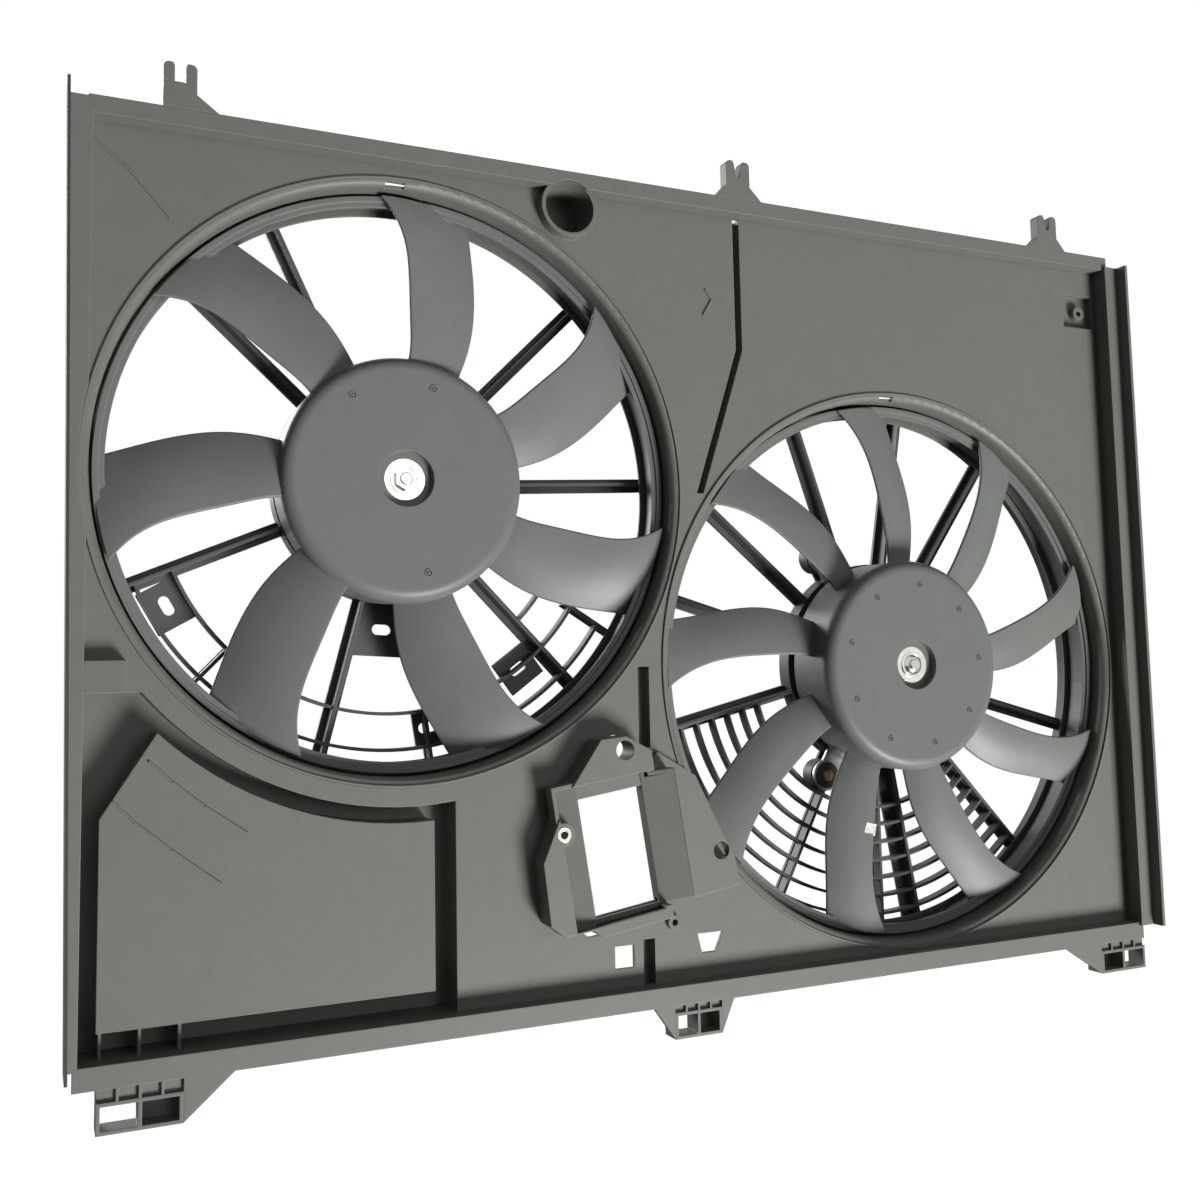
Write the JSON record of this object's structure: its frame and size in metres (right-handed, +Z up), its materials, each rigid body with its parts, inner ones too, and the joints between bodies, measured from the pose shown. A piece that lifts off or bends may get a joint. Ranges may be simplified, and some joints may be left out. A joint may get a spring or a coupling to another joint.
{
  "type": "radiator cooling fan assembly",
  "caption": "Moulded shroud that carries ringed axial fans, each turned by its own motor on rubber bushes, to draw air through a vehicle's radiator.",
  "frame": {"origin": "middle of the lower flange's front face, where it meets the radiator", "axes": "+Z up, +X to the right seen from the radiator, -Y out of the front face towards the radiator"},
  "size_m": [0.7616, 0.1275, 0.5705],
  "materials": {
    "shroud_plastic": "moulded glass-filled nylon, dull",
    "bracket_plastic": "moulded glass-filled nylon, dull",
    "fan_plastic": "moulded glass-filled nylon, dull",
    "carrier_plastic": "moulded glass-filled nylon, dull",
    "connector_plastic": "moulded black plastic",
    "black_rubber": "moulded, matt",
    "insert_brass": "machined",
    "turned_steel": "turned and plated",
    "motor_steel": "deep-drawn and zinc plated",
    "bearing_steel": "ground",
    "fastener_steel": "zinc plated",
    "magnet_ferrite": "pressed and ground",
    "core_steel": "stacked laminations",
    "winding_copper": "enamelled wire",
    "commutator_copper": "turned",
    "brush_carbon": "pressed carbon"
  },
  "bodies": {
    "shroud": {"bracket_insert": "insert_brass", "clip_sockets": "shroud_plastic", "controller_bracket": "bracket_plastic", "left_barrel": "shroud_plastic", "left_bearing_balls": "bearing_steel", "left_bearing_outer_rings": "bearing_steel", "left_brush_card": "connector_plastic", "left_brushes": "brush_carbon", "left_bush_sleeves": "insert_brass", "left_magnets": "magnet_ferrite", "left_motor_can": "motor_steel", "left_motor_carrier": "carrier_plastic", "left_motor_end_plate": "motor_steel", "left_motor_flange": "motor_steel", "left_motor_socket": "connector_plastic", "left_mounting_screws": "fastener_steel", "left_rim": "shroud_plastic", "left_rubber_bushes": "black_rubber", "left_side_seal": "black_rubber", "lower_rim": "shroud_plastic", "radiator_forks": "shroud_plastic", "right_barrel": "shroud_plastic", "right_bearing_balls": "bearing_steel", "right_bearing_outer_rings": "bearing_steel", "right_brush_card": "connector_plastic", "right_brushes": "brush_carbon", "right_bush_sleeves": "insert_brass", "right_magnets": "magnet_ferrite", "right_motor_can": "motor_steel", "right_motor_carrier": "carrier_plastic", "right_motor_end_plate": "motor_steel", "right_motor_flange": "motor_steel", "right_motor_socket": "connector_plastic", "right_mounting_screws": "fastener_steel", "right_rim": "shroud_plastic", "right_rubber_bushes": "black_rubber", "right_side_rail": "shroud_plastic", "shroud_panel": "shroud_plastic", "upper_rim": "shroud_plastic"},
    "left_rotor": {"left_armature_core": "core_steel", "left_bearing_inner_rings": "bearing_steel", "left_commutator": "commutator_copper", "left_hub_insert": "turned_steel", "left_impeller": "fan_plastic", "left_shaft": "turned_steel", "left_shaft_nut": "fastener_steel", "left_windings": "winding_copper"},
    "right_rotor": {"right_armature_core": "core_steel", "right_bearing_inner_rings": "bearing_steel", "right_commutator": "commutator_copper", "right_hub_insert": "turned_steel", "right_impeller": "fan_plastic", "right_retaining_clip": "fastener_steel", "right_shaft": "turned_steel", "right_windings": "winding_copper"}
  },
  "joints": [
    {"name": "left_fan_spin", "type": "hinge", "parent": "shroud", "child": "left_rotor", "pos_m": [-0.19, 0.03, 0.3175], "axis": [0, 1, 0], "continuous": true},
    {"name": "right_fan_spin", "type": "hinge", "parent": "shroud", "child": "right_rotor", "pos_m": [0.169, 0.03, 0.201], "axis": [0, 1, 0], "continuous": true}
  ]
}
